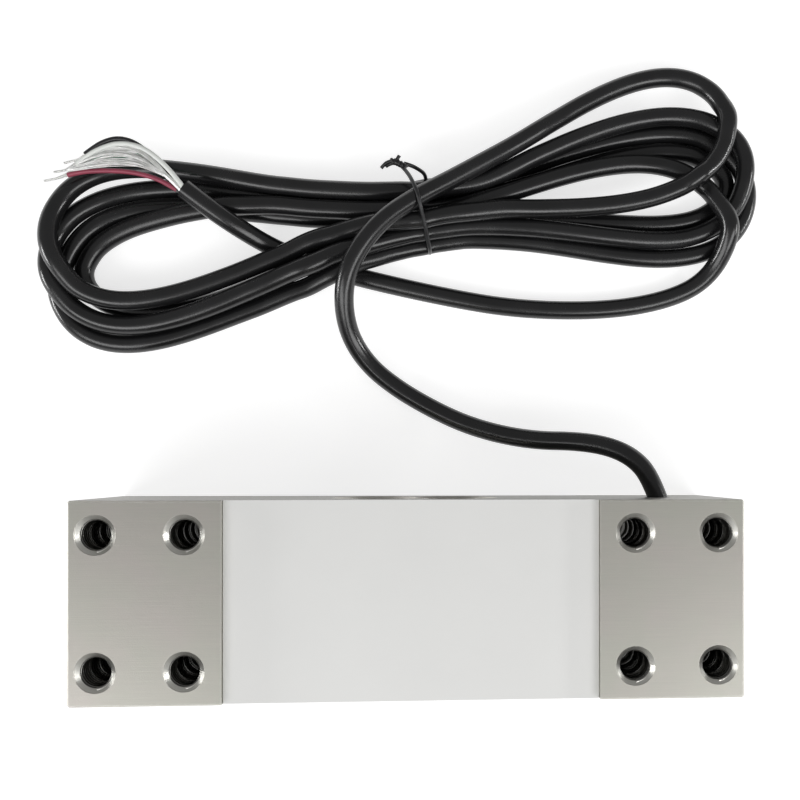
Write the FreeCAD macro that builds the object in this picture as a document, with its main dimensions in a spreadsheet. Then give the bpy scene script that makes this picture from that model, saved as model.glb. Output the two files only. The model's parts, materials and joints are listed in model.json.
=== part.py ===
"""Single point load cell: binocular aluminium beam with its gauges, wiring, covers and cable.

The beam lies flat on its lower mounting face. +X runs along the beam to the fixed (cable) end,
+Y points to the side that the cable leaves, +Z up. The origin is at the centre of the beam's
bottom. Sizes are in millimetres.
"""
import math
import os

import FreeCAD
import Part
from FreeCAD import Vector

SIZES = {
    # the beam
    "beam_length": 150.0,
    "beam_width": 45.0,
    "beam_height": 40.0,
    "edge_break": 0.4,
    "pad_length": 33.0,
    "pad_rise": 2.5,
    "flexure_radius": 11.0,
    "flexure_spacing": 17.0,
    "flexure_break": 0.5,
    "gauge_pocket_length": 60.0,
    "gauge_pocket_width": 28.0,
    "gauge_pocket_depth": 1.6,
    "gauge_pocket_corner": 3.0,
    # the M8 mounting holes
    "bolt_bore_radius": 3.4,
    "bolt_sink_radius": 4.5,
    "bolt_pitch_along": 19.0,
    "bolt_pitch_across": 30.0,
    "bolt_end_margin": 6.0,
    # covers
    "cover_thickness": 0.8,
    "cover_gap": 0.1,
    # strain gauges and their wiring
    "gauge_length": 7.0,
    "gauge_width": 6.4,
    "gauge_thickness": 0.15,
    "board_length": 6.0,
    "board_width": 16.0,
    "board_thickness": 0.6,
    "board_gap": 2.5,
    "resistor_length": 2.0,
    "resistor_width": 1.2,
    "resistor_height": 0.5,
    "resistor_pitch": 3.4,
    "jumper_radius": 0.15,
    "jumper_lift": 0.05,
    "jumper_margin": 1.6,
    # the cable's way in
    "entry_bore_radius": 3.2,
    "entry_bore_depth": 26.0,
    "entry_level": 20.0,
    "passage_radius": 1.6,
    "passage_inset": 4.0,
    "passage_wires_radius": 1.1,
    "jacket_depth": 13.5,
    "seal_depth": 5.0,
    "crimp_length": 4.0,
    "crimp_wall": 0.5,
    "crimp_inset": 1.5,
    # the cable
    "cable_radius": 2.4,
    "core_radius": 0.6,
    "conductor_radius": 0.35,
    "screen_radius": 0.55,
    "hank_height": 10.0,
    "hank_waist_half": 9.8,
    "tie_wire_radius": 0.55,
    "tie_gap": 0.05,
}

doc = FreeCAD.newDocument("load_cell")
sheet = doc.addObject("Spreadsheet::Sheet", "sizes")
for row, (alias, value) in enumerate(SIZES.items(), start=1):
    sheet.set(f"A{row}", alias)
    sheet.set(f"B{row}", str(value))
    sheet.setAlias(f"B{row}", alias)
doc.recompute()

PARTS = []


def size(alias):
    return SIZES[alias]


def bind(obj, **expressions):
    """Tie properties to the sheet; a double underscore stands for a dot in a property's path."""
    for prop, expression in expressions.items():
        words = expression
        for alias in sorted(SIZES, key=len, reverse=True):
            words = words.replace("{" + alias + "}", "sizes." + alias)
        obj.setExpression(prop.replace("__", "."), words)
    return obj


def place(obj, x="0", y="0", z="0"):
    return bind(obj, Placement__Base__x=x, Placement__Base__y=y, Placement__Base__z=z)


def block(name, length, width, height, x, y, z):
    """A box that is centred on x and y and stands on z."""
    obj = doc.addObject("Part::Box", name)
    bind(obj, Length=length, Width=width, Height=height)
    return place(obj, f"({x}) - ({length}) / 2", f"({y}) - ({width}) / 2", z)


def cylinder(name, radius, height, x, y, z, towards=Vector(0, 0, 1)):
    """A cylinder that stands on (x, y, z) and points in one direction."""
    obj = doc.addObject("Part::Cylinder", name)
    bind(obj, Radius=radius, Height=height)
    obj.Placement.Rotation = FreeCAD.Rotation(Vector(0, 0, 1), towards)
    return place(obj, x, y, z)


def cone(name, radius_low, radius_high, height, x, y, z, towards=Vector(0, 0, 1)):
    obj = doc.addObject("Part::Cone", name)
    bind(obj, Radius1=radius_low, Radius2=radius_high, Height=height)
    obj.Placement.Rotation = FreeCAD.Rotation(Vector(0, 0, 1), towards)
    return place(obj, x, y, z)


def ball(name, radius, x, y, z):
    obj = doc.addObject("Part::Sphere", name)
    bind(obj, Radius=radius)
    return place(obj, x, y, z)


def fuse(name, shapes):
    obj = doc.addObject("Part::MultiFuse", name)
    obj.Shapes = shapes
    return obj


def cut(name, base, tool):
    obj = doc.addObject("Part::Cut", name)
    obj.Base = base
    obj.Tool = tool
    return obj


def solid(name, shape):
    obj = doc.addObject("Part::Feature", name)
    obj.Shape = shape
    return obj


def node(name, obj):
    """Give a finished piece the name of its file."""
    obj.Label = name
    PARTS.append((name, obj))
    return obj


def mirrored(name, obj):
    """A copy that is mirrored about the beam's mid height."""
    twin = doc.addObject("Part::Mirroring", name)
    twin.Source = obj
    twin.Normal = Vector(0, 0, 1)
    return bind(twin, Base__z="{beam_height} / 2")


def below(name, obj):
    """The same piece on the beam's underside."""
    return node(name, mirrored(name + "_body", obj))


# Levels on the upper side, worked out once for every piece that sits there.
RECESS_LENGTH = "({beam_length} - 2 * {pad_length})"
RECESS_FLOOR = "({beam_height} - {pad_rise})"
POCKET_FLOOR = "({beam_height} - {pad_rise} - {gauge_pocket_depth})"
ENTRY_X = "({beam_length} / 2 - {bolt_end_margin} - {bolt_pitch_along} / 2)"
WALL_Y = "({beam_width} / 2)"
BOARD_X = "({flexure_spacing} / 2 + {gauge_length} / 2 + {board_gap} + {board_length} / 2)"
INWARD = Vector(0, -1, 0)
OVERRUN = "1"


def passage_line(upwards):
    """Where a wire passage starts in the cable bore, and where it breaks into a pocket."""
    floor = size("pad_rise") + size("gauge_pocket_depth")
    start = Vector(
        size("beam_length") / 2 - size("bolt_end_margin") - size("bolt_pitch_along") / 2,
        0,
        size("entry_level"),
    )
    mouth = Vector(
        size("gauge_pocket_length") / 2 - size("passage_inset"),
        0,
        size("beam_height") - floor if upwards else floor,
    )
    return start, mouth


def passage_rod(name, radius, spare, upwards=True):
    """A round bar in a wire passage; spare is how far it runs on past the pocket's floor."""
    start, mouth = passage_line(upwards)
    run = (mouth - start).Length
    return cylinder(
        name, radius, f"{run:.4f} + {spare}", ENTRY_X, "0", "{entry_level}", mouth - start
    )


def gauge_pocket(name, margin="0"):
    """The milled pocket under the cover, with its cutter's corner radius."""
    blank = block(
        name + "_blank",
        "{gauge_pocket_length}",
        "{gauge_pocket_width}",
        f"{{gauge_pocket_depth}} + {margin}",
        "0",
        "0",
        POCKET_FLOOR,
    )
    doc.recompute()
    upright = [
        number
        for number, edge in enumerate(blank.Shape.Edges, start=1)
        if abs(edge.tangentAt(edge.FirstParameter).z) > 0.99
    ]
    rounded = doc.addObject("Part::Fillet", name)
    rounded.Base = blank
    corner = size("gauge_pocket_corner")
    rounded.Edges = [(number, corner, corner) for number in upright]
    return rounded


def bolt_holes():
    """Eight through holes with a countersink at each face: two rows of two at each end."""
    wide = "{bolt_sink_radius}"
    bore = "{bolt_bore_radius}"
    depth = f"({wide} - {bore})"
    tools = []
    for end in (-1, 1):
        for row in (0, 1):
            for side in (-1, 1):
                tag = f"{end}_{row}_{side}".replace("-1", "minus")
                margin = f"({{bolt_end_margin}} + {row} * {{bolt_pitch_along}})"
                x = f"{end} * ({{beam_length}} / 2 - {margin})"
                y = f"{side} * {{bolt_pitch_across}} / 2"
                upper = "{beam_height} - " + depth
                tools.append(cylinder("bore_" + tag, bore, "{beam_height}", x, y, "0"))
                tools.append(cone("sink_low_" + tag, wide, bore, depth, x, y, "0"))
                tools.append(cone("sink_high_" + tag, bore, wide, depth, x, y, upper))
    return tools


def flexure():
    """The binocular cut-out: two bores that run into each other, with broken mouths."""
    tools = []
    for end in (-1, 1):
        x = f"{end} * {{flexure_spacing}} / 2"
        tag = "load" if end < 0 else "fixed"
        tools.append(
            cylinder(
                "flexure_" + tag,
                "{flexure_radius}",
                "{beam_width} + 2 * " + OVERRUN,
                x,
                WALL_Y + " + " + OVERRUN,
                "{beam_height} / 2",
                INWARD,
            )
        )
        for side in (-1, 1):
            tools.append(
                cone(
                    f"flexure_break_{tag}_{'near' if side < 0 else 'far'}",
                    "{flexure_radius} + {flexure_break}",
                    "{flexure_radius}",
                    "{flexure_break}",
                    x,
                    f"{side} * " + WALL_Y,
                    "{beam_height} / 2",
                    Vector(0, -side, 0),
                )
            )
    return tools


def beam():
    blank = block("beam_blank", "{beam_length}", "{beam_width}", "{beam_height}", "0", "0", "0")
    doc.recompute()
    broken = doc.addObject("Part::Chamfer", "beam_blank_edges")
    broken.Base = blank
    edge = size("edge_break")
    broken.Edges = [(number, edge, edge) for number in range(1, len(blank.Shape.Edges) + 1)]
    recess = block(
        "recess",
        RECESS_LENGTH,
        "{beam_width} + 2 * " + OVERRUN,
        "{pad_rise} + " + OVERRUN,
        "0",
        "0",
        RECESS_FLOOR,
    )
    pocket = gauge_pocket("gauge_pocket", OVERRUN)
    entry = cylinder(
        "entry_bore",
        "{entry_bore_radius}",
        "{entry_bore_depth}",
        ENTRY_X,
        WALL_Y,
        "{entry_level}",
        INWARD,
    )
    passages = [
        passage_rod(name, "{passage_radius}", "{passage_radius}", upwards)
        for name, upwards in (("passage_up", True), ("passage_down", False))
    ]
    upper = [recess, pocket]
    lower = [mirrored(tool.Name + "_below", tool) for tool in upper]
    tools = fuse("beam_tools", upper + lower + passages + [entry] + bolt_holes() + flexure())
    return node("beam", cut("beam_body", broken, tools))


def covers():
    """White sheets that lie in the recesses between the mounting pads."""
    top = block(
        "cover_sheet",
        RECESS_LENGTH + " - 2 * {cover_gap}",
        "{beam_width}",
        "{cover_thickness}",
        "0",
        "0",
        RECESS_FLOOR,
    )
    node("top_cover", top)
    below("bottom_cover", top)


def gauges():
    """One foil gauge over each thin web, glued to the pocket's floor."""
    pieces = []
    for end, tag in ((-1, "load"), (1, "fixed")):
        pad = block(
            "gauge_pad_" + tag,
            "{gauge_length}",
            "{gauge_width}",
            "{gauge_thickness}",
            f"{end} * {{flexure_spacing}} / 2",
            "0",
            POCKET_FLOOR,
        )
        node("top_gauge_" + tag, pad)
        below("bottom_gauge_" + tag, pad)
        pieces.append(pad)
    return pieces


def terminal_board():
    board = block(
        "terminal_strip",
        "{board_length}",
        "{board_width}",
        "{board_thickness}",
        BOARD_X,
        "0",
        POCKET_FLOOR,
    )
    node("top_terminal_board", board)
    below("bottom_terminal_board", board)
    return board


def trim_resistors():
    """Three small resistors that trim zero and span, soldered to the board."""
    row = [
        block(
            f"trim_resistor_{number}",
            "{resistor_length}",
            "{resistor_width}",
            "{resistor_height}",
            BOARD_X,
            f"({number}) * {{resistor_pitch}}",
            POCKET_FLOOR + " + {board_thickness}",
        )
        for number in (-1, 0, 1)
    ]
    group = fuse("trim_resistor_row", row)
    node("top_trim_resistors", group)
    below("bottom_trim_resistors", group)
    return group


def jumper_wires():
    """Fine wires from the gauges to the board: short ones from the near gauge, long ones round it."""
    level = POCKET_FLOOR + " + {jumper_lift} + {jumper_radius}"
    board_edge = "(" + BOARD_X + " - {board_length} / 2)"
    near_edge = "({flexure_spacing} / 2 + {gauge_length} / 2)"
    track = "({gauge_width} / 2 + {jumper_margin})"
    pieces = []
    for side in (-1, 1):
        tag = "near" if side < 0 else "far"
        pieces.append(
            cylinder(
                "jumper_short_" + tag,
                "{jumper_radius}",
                board_edge + " - " + near_edge,
                near_edge,
                f"{side} * {{gauge_width}} / 4",
                level,
                Vector(1, 0, 0),
            )
        )
        corner = dict(x="-{flexure_spacing} / 2", y=f"{side} * " + track, z=level)
        pieces.append(
            fuse(
                "jumper_long_" + tag,
                [
                    cylinder(
                        "jumper_out_" + tag,
                        "{jumper_radius}",
                        "{jumper_margin}",
                        corner["x"],
                        f"{side} * {{gauge_width}} / 2",
                        level,
                        Vector(0, side, 0),
                    ),
                    ball("jumper_corner_" + tag, "{jumper_radius}", **corner),
                    cylinder(
                        "jumper_along_" + tag,
                        "{jumper_radius}",
                        board_edge + " + {flexure_spacing} / 2",
                        corner["x"],
                        corner["y"],
                        level,
                        Vector(1, 0, 0),
                    ),
                ],
            )
        )
    group = fuse("jumper_wire_set", pieces)
    node("top_jumper_wires", group)
    below("bottom_jumper_wires", group)
    return group


def entry_parts():
    """What holds and seals the cable in its bore, from the wall inwards."""
    jacket = cylinder(
        "jacket_stub", "{cable_radius}", "{jacket_depth}", ENTRY_X, WALL_Y, "{entry_level}", INWARD
    )
    node("cable_entry", jacket)

    seal_blank = cylinder(
        "seal_blank", "{entry_bore_radius}", "{seal_depth}", ENTRY_X, WALL_Y, "{entry_level}", INWARD
    )
    node("cable_seal", cut("cable_seal_ring", seal_blank, jacket))

    crimp_y = WALL_Y + " - {jacket_depth} + {crimp_inset} + {crimp_length}"
    crimp_blank = cylinder(
        "crimp_blank",
        "{cable_radius} + {crimp_wall}",
        "{crimp_length}",
        ENTRY_X,
        crimp_y,
        "{entry_level}",
        INWARD,
    )
    node("cable_crimp", cut("cable_crimp_ring", crimp_blank, jacket))

    stub = cylinder(
        "core_stub",
        "{passage_wires_radius}",
        WALL_Y + " - {jacket_depth}",
        ENTRY_X,
        WALL_Y + " - {jacket_depth}",
        "{entry_level}",
        INWARD,
    )
    elbow = ball("core_elbow", "{passage_wires_radius}", ENTRY_X, "0", "{entry_level}")
    rise = passage_rod("core_rise", "{passage_wires_radius}", "0")
    cores = node("inner_cores", fuse("inner_core_run", [stub, elbow, rise]))
    fall = passage_rod("core_fall", "{passage_wires_radius}", "0", upwards=False)
    node("link_wires", cut("link_wire_run", fall, cores))

    plug = cylinder(
        "plug_blank",
        "{entry_bore_radius}",
        "{entry_bore_depth} - {jacket_depth}",
        ENTRY_X,
        WALL_Y + " - {jacket_depth}",
        "{entry_level}",
        INWARD,
    )
    node("entry_potting", cut("entry_potting_plug", plug, fuse("potted_wires", [cores, fall])))
    return cores


def sealant(inside):
    """Soft sealant that fills each pocket up to the cover, round what is glued in it."""
    fill = gauge_pocket("sealant_blank")
    core = cut("top_sealant_fill", fill, fuse("potted_pieces", inside))
    node("top_sealant", core)
    below("bottom_sealant", core)


# ---- the cable -----------------------------------------------------------------------------
# The routes are hand-laid points of centre lines. They stay as chosen when another size changes.
# The lead starts inside the beam's wall, and is cut off at the wall.

LEAD_POINTS = [
    (59.8, 21.6, 20.0),
    (57.6, 27.7, 20.0),
    (53.4, 32.4, 19.4),
    (47.4, 35.2, 17.6),
    (39.8, 36.4, 14.6),
    (31.0, 37.0, 11.0),
    (21.8, 38.8, 7.6),
    (12.6, 41.8, 5.0),
    (4.0, 46.0, 3.4),
    (-4.2, 50.8, 2.9),
    (-11.2, 56.2, 3.9),
    (-15.9, 62.6, 6.6),
    (-17.9, 69.8, 10.2),
    (-16.9, 77.4, 12.4),
    (-13.0, 84.6, 12.8),
    (-7.4, 91.2, 12.7),
    (0.2, 96.8, 12.6),
    (8.4, 101.7, 11.6),
    (16.6, 106.8, 9.6),
    (25.0, 112.0, 7.0),
]
TAIL_POINTS = [
    (81.2, 96.5, 5.2),
    (81.8, 89.5, 4.0),
    (79.4, 82.9, 2.9),
    (75.0, 78.1, 2.5),
    (67.7, 74.8, 2.5),
    (58.6, 72.4, 2.5),
    (47.6, 71.1, 2.5),
    (35.0, 70.9, 2.5),
    (22.4, 72.0, 2.5),
    (10.6, 74.1, 2.5),
    (-1.0, 76.6, 2.5),
    (-11.4, 79.0, 2.5),
    (-21.4, 81.6, 2.6),
    (-29.6, 84.4, 3.8),
    (-37.0, 87.4, 7.4),
    (-44.0, 90.8, 11.4),
    (-51.0, 94.7, 13.2),
    (-57.6, 99.0, 13.0),
]
# Each core starts at a place across the jacket's end: (sideways, up). Then come its own points.
CORES = {
    "core_red": (
        (-0.7, 0.55),
        [(-62.6, 101.4, 13.4), (-68.4, 102.8, 12.8), (-75.4, 103.2, 12.2), (-82.0, 102.8, 11.6)],
    ),
    "core_black": (
        (0.7, 0.55),
        [
            (-60.8, 103.6, 13.8),
            (-63.8, 107.4, 14.2),
            (-69.0, 109.2, 14.0),
            (-74.4, 108.6, 13.0),
            (-79.6, 107.0, 12.2),
        ],
    ),
    "core_green": (
        (-0.7, -0.7),
        [(-62.8, 100.2, 11.8), (-69.0, 100.6, 11.2), (-76.0, 100.2, 11.0), (-82.6, 98.8, 10.8)],
    ),
    "core_white": (
        (0.7, -0.7),
        [(-61.8, 102.8, 11.6), (-68.0, 105.2, 11.2), (-75.0, 105.8, 11.0), (-81.8, 104.8, 10.8)],
    ),
}
SCREEN = (
    (0.0, 1.75),
    [(-61.6, 102.2, 15.0), (-66.4, 105.0, 15.4), (-72.4, 106.0, 14.6), (-78.6, 105.0, 13.4)],
)
# How far a core runs straight out of the jacket's end before its own points, and its bare tip.
CORE_STRAIGHT = 2.2
TIP_LENGTH = 6.0

# The hank's bands of turns, and the spaces that the turns leave, as lobes to one side of a root.
LEFT_BAND = dict(root=(2.6, 94.3), reach=-97.0, rise=-15.0, half_width=35.7)
LEFT_SPACE = dict(root=(-13.0, 91.6), reach=-71.0, rise=-12.6, half_width=19.0)
RIGHT_BAND = dict(root=(2.6, 94.3), reach=86.4, rise=12.3, half_width=29.9)
RIGHT_SPACE = dict(root=(24.0, 98.4), reach=53.0, rise=4.0, half_width=11.0)
LOOSE_LOOP = dict(root=(2.6, 97.0), reach=80.4, rise=25.0, half_width=28.8, waist=3.0)
LOOSE_SPACE = dict(root=(16.0, 102.6), reach=61.6, rise=18.6, half_width=23.0)
LOOSE_HEIGHT = 8.8
LOBE_FULLNESS = 1.3
LOBE_STEPS = 9

# The wire tie round the hank's waist, as (y, z) at its own x: from the twist, under the hank,
# up its near side and back over the lead. Then the twist and its two splayed ends.
TIE_X = 2.6
TIE_LOOP = [
    (103.55, 8.8),
    (103.55, 2.55),
    (101.55, 0.55),
    (87.05, 0.55),
    (85.05, 2.55),
    (85.05, 7.45),
    (87.45, 10.25),
    (92.05, 13.25),
    (96.45, 15.65),
    (100.55, 15.65),
    (103.35, 13.45),
    (103.55, 10.0),
]
TIE_TWIST = [(2.6, 103.5, 9.4), (0.4, 105.6, 10.2), (-2.2, 107.2, 10.6)]
TIE_EARS = (
    [(-2.2, 107.2, 10.6), (-4.0, 108.4, 11.2), (-4.2, 110.0, 11.6)],
    [(-2.2, 107.2, 10.6), (-5.0, 108.0, 10.2), (-7.6, 107.0, 9.6)],
)
# The twist's radius, in radii of its wire.
TWIST_SHARE = 1.8
# How far a bend of the tie passes inside its corner point, at the most.
TIE_BEND_ALLOWANCE = 0.4

# The part of a run that the arc at its end may take up, so that two arcs never meet.
ARC_SHARE = 0.45
# A scrap of the tail's tube that is smaller than this share is left out where the hank cuts it.
SLIVER_SHARE = 0.05


def rounded_route(points):
    """A wire of straight runs joined by the largest arcs that its runs allow, and their radii."""
    corners = [Vector(*point) for point in points]
    edges = []
    radii = []
    last = corners[0]
    for before, corner, after in zip(corners, corners[1:], corners[2:]):
        back = (before - corner).normalize()
        ahead = (after - corner).normalize()
        half_turn = (math.pi - back.getAngle(ahead)) / 2
        reach = ARC_SHARE * min((before - corner).Length, (after - corner).Length)
        radius = reach / math.tan(half_turn)
        inward = (back + ahead).normalize()
        start = corner + back * reach
        middle = corner + inward * (radius / math.cos(half_turn) - radius)
        end = corner + ahead * reach
        edges.append(Part.LineSegment(last, start).toShape())
        edges.append(Part.Arc(start, middle, end).toShape())
        radii.append(radius)
        last = end
    edges.append(Part.LineSegment(last, corners[-1]).toShape())
    return Part.Wire(edges), radii


def tube(name, points, radius):
    """A plain round tube along a route; prints its length, tightest bend and volume."""
    wire, radii = rounded_route(points)
    start = Vector(*points[0])
    ring = Part.Wire(Part.makeCircle(radius, start, Vector(*points[1]) - start))
    body = wire.makePipeShell([ring], True, False)
    print(
        f"{name}: length {wire.Length:.1f}, tightest bend {min(radii):.1f},"
        f" volume {body.Volume:.0f} of {math.pi * radius**2 * wire.Length:.0f}"
    )
    return body


def lobe(root, reach, rise, half_width, waist=0.0):
    """The outline of one end of a hank: narrow at its root by the tie, round at its far end."""
    upper = []
    lower = []
    for step in range(LOBE_STEPS):
        angle = math.pi * step / (LOBE_STEPS - 1)
        share = (1 - math.cos(angle)) / 2
        x = root[0] + reach * share
        middle = root[1] + rise * share
        spread = half_width * math.sin(angle) * share**LOBE_FULLNESS + waist * (1 - share)
        upper.append(Vector(x, middle + spread, 0))
        lower.append(Vector(x, middle - spread, 0))
    outline = upper + lower[-2::-1]
    curve = Part.BSplineCurve()
    curve.interpolate(outline)
    edges = [curve.toShape()]
    if waist:
        edges.append(Part.LineSegment(outline[-1], outline[0]).toShape())
    return Part.Face(Part.Wire(edges))


def slab(face, low, high):
    return face.translated(Vector(0, 0, low)).extrude(Vector(0, 0, high - low))


def hank():
    """The tied hank as one closed solid: a lobe on each side of the tie and a loose top loop."""
    waist = size("hank_waist_half")
    height = size("hank_height")
    spare = size("cable_radius")
    bands = [slab(lobe(**band, waist=waist), 0, height) for band in (LEFT_BAND, RIGHT_BAND)]
    spaces = [slab(lobe(**space), -spare, height + spare) for space in (LEFT_SPACE, RIGHT_SPACE)]
    loose = slab(lobe(**LOOSE_LOOP), 0, LOOSE_HEIGHT)
    loose = loose.cut(slab(lobe(**LOOSE_SPACE), -spare, height + spare))
    body = bands[0].fuse([bands[1], loose]).cut(spaces).removeSplitter()
    return body.cut(tie_groove())


def tie_groove():
    """What the tie takes out of the hank: all that is outside its loop, over the wire's width."""
    wire = size("tie_wire_radius")
    half_seat = wire + size("tie_gap")
    spare = size("cable_radius")
    height = size("hank_height") + 2 * spare
    width = 2 * size("hank_waist_half") + 2 * spare
    corner = Vector(TIE_X - half_seat, LEFT_BAND["root"][1] - width / 2, -spare)
    around = Part.makeBox(2 * half_seat, width, height, corner)
    loop = [Vector(corner.x, *point) for point in TIE_LOOP]
    ring = Part.Face(Part.makePolygon(loop + loop[:1]))
    inside = ring.makeOffset2D(-wire - TIE_BEND_ALLOWANCE)
    return around.cut(inside.extrude(Vector(2 * half_seat, 0, 0)))


def add_cable():
    """The free cable: its lead, the tied hank, the loose tail, and the stripped end."""
    cable = size("cable_radius")
    bundle = hank()
    node("cable_hank", solid("hank_body", bundle))

    # the lead starts on the beam's wall and dives into the hank's loose loop
    x, _, z = LEAD_POINTS[0]
    side = 4 * cable
    corner = Vector(x - side / 2, size("beam_width") / 2 - side, z - side / 2)
    wall = Part.makeBox(side, side, side, corner)
    lead = tube("cable_lead", LEAD_POINTS, cable).cut(bundle.fuse(wall))
    node("cable_lead", solid("lead_body", largest(lead)))

    # the tail comes out of the hank's far end, passes through its band of turns, and climbs over it
    tail = tube("cable_tail", TAIL_POINTS, cable).cut(bundle)
    runs = [body for body in tail.Solids if body.Volume > SLIVER_SHARE * tail.Volume]
    node("cable_tail", solid("tail_body", Part.makeCompound(runs)))

    wire = size("tie_wire_radius")
    loop = tube("twist_tie loop", [(TIE_X, *point) for point in TIE_LOOP], wire)
    twist = tube("twist_tie twist", TIE_TWIST, TWIST_SHARE * wire)
    ears = [tube("twist_tie ear", points, wire) for points in TIE_EARS]
    node("twist_tie", solid("tie_body", twist.fuse([loop] + ears)))

    add_cores()


def largest(shape):
    return max(shape.Solids, key=lambda body: body.Volume)


def add_cores():
    """The four cores and the screen that fan out of the jacket's end, with tinned tips."""
    end = Vector(*TAIL_POINTS[-1])
    along = (end - Vector(*TAIL_POINTS[-2])).normalize()
    sideways = along.cross(Vector(0, 0, 1)).normalize()
    up = sideways.cross(along)
    tips = []
    for name, (across, points) in CORES.items():
        start = end + sideways * across[0] + up * across[1]
        route = [tuple(start), tuple(start + along * CORE_STRAIGHT)] + points
        node(name, solid(name + "_body", tube(name, route, size("core_radius"))))
        last = Vector(*points[-1])
        direction = last - Vector(*points[-2])
        tips.append(Part.makeCylinder(size("conductor_radius"), TIP_LENGTH, last, direction))
    node("core_tips", solid("core_tip_set", Part.makeCompound(tips)))
    across, points = SCREEN
    start = end + sideways * across[0] + up * across[1]
    route = [tuple(start), tuple(start + along * CORE_STRAIGHT)] + points
    node("cable_screen", solid("screen_body", tube("cable_screen", route, size("screen_radius"))))


def check_and_write():
    """Stop on any faulty object; otherwise write one STEP file for each finished piece."""
    doc.recompute()
    for obj in doc.Objects:
        if "Invalid" in obj.State or "Error" in obj.State:
            raise RuntimeError(f"{obj.Name} is {obj.State}")
    os.makedirs("parts", exist_ok=True)
    for name, obj in PARTS:
        if obj.Shape.isNull() or not obj.Shape.isValid():
            raise RuntimeError(f"{name} has no valid shape")
        obj.Shape.exportStep(f"parts/{name}.step")
    print(len(PARTS), "nodes written")


beam()
covers()
glued = gauges() + [terminal_board(), trim_resistors(), jumper_wires()]
sealant(glued + [entry_parts()])
add_cable()
check_and_write()
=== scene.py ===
"""Single point load cell, dressed for a render: finishes, threads, cable hank, tie and bare wires.

Everything is in metres in the frame of the packed model: +X runs to the cable's end of the beam,
+Y to the side that the cable leaves, +Z up, with the origin at the centre of the beam's bottom.
"""
import json
import math

import bmesh
import bpy
import numpy as np
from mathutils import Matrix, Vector


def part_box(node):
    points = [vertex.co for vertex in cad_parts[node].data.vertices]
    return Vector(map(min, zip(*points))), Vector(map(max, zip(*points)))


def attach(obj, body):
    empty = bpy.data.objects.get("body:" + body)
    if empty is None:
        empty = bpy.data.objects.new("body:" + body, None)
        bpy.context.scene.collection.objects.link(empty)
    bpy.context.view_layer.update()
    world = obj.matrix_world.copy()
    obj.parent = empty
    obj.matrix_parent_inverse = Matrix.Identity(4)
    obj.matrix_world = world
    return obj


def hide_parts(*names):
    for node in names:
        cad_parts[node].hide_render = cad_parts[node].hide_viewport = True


bl_info = {
    "name": "Single Point Load Cell",
    "version": (1, 0, 0),
    "blender": (4, 5, 0),
    "location": "3D View > Sidebar > Load Cell",
    "description": "Finishes, threads, cable hank and bare wires of a single point load cell",
    "category": "Object",
}

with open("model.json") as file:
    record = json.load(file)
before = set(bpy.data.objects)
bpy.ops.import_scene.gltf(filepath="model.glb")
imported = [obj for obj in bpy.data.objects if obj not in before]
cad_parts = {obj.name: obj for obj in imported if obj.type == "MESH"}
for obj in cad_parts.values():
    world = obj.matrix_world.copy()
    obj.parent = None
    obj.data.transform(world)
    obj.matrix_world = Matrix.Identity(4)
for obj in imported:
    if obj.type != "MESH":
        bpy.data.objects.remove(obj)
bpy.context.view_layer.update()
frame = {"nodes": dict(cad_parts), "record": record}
BODY = "root"
BEAM_HIGH = Vector(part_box("beam")[1])

# ---------------------------------------------------------------- the cable's route

# From the beam's wall, down to the floor, and back up over the hank in one long low hump.
LEAD_POINTS = [
    (0.0598, 0.0216, 0.0200),
    (0.0576, 0.0277, 0.0200),
    (0.0534, 0.0324, 0.0194),
    (0.0474, 0.0352, 0.0176),
    (0.0398, 0.0364, 0.0146),
    (0.0309, 0.0366, 0.0110),
    (0.0215, 0.0382, 0.0076),
    (0.0122, 0.0411, 0.0050),
    (0.0035, 0.0453, 0.0034),
    (-0.0048, 0.0502, 0.0030),
    (-0.0118, 0.0557, 0.0042),
    (-0.0164, 0.0624, 0.0076),
    (-0.0179, 0.0698, 0.0124),
    (-0.0169, 0.0774, 0.0160),
    (-0.0130, 0.0846, 0.0172),
    (-0.0074, 0.0912, 0.0162),
    (0.0002, 0.0968, 0.0142),
    (0.0084, 0.1017, 0.0120),
    (0.0166, 0.1068, 0.0102),
    (0.0250, 0.1120, 0.0084),
]
# From the last turn's bend, along the floor under the hank, and up over its far end.
TAIL_POINTS = [
    (0.0806, 0.0934, 0.0114),
    (0.0804, 0.0881, 0.0094),
    (0.0783, 0.0823, 0.0050),
    (0.0742, 0.0780, 0.0026),
    (0.0677, 0.0748, 0.0025),
    (0.0586, 0.0724, 0.0025),
    (0.0476, 0.0711, 0.0025),
    (0.0350, 0.0709, 0.0025),
    (0.0224, 0.0717, 0.0025),
    (0.0105, 0.0736, 0.0025),
    (-0.0012, 0.0759, 0.0025),
    (-0.0117, 0.0782, 0.0025),
    (-0.0217, 0.0807, 0.0025),
    (-0.0300, 0.0834, 0.0025),
    (-0.0376, 0.0865, 0.0038),
    (-0.0446, 0.0900, 0.0088),
    (-0.0513, 0.0942, 0.0122),
    (-0.0566, 0.0982, 0.0126),
]
# The layers of the lead, and of the tail's first points, its stretch on the floor and its end.
LEAD_LAYER = 10
TAIL_LAYERS = [7] * 3 + [0] * 11 + [10] * 4

# Where the strands pass through the tie, side by side.
TIE_CENTRE = (0.0026, 0.0949)
TIE_SLOTS = [0.0973, 0.0922, 0.1004, 0.0901, 0.1019, 0.0879, 0.0973, 0.0925, 0.0952]
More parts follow.
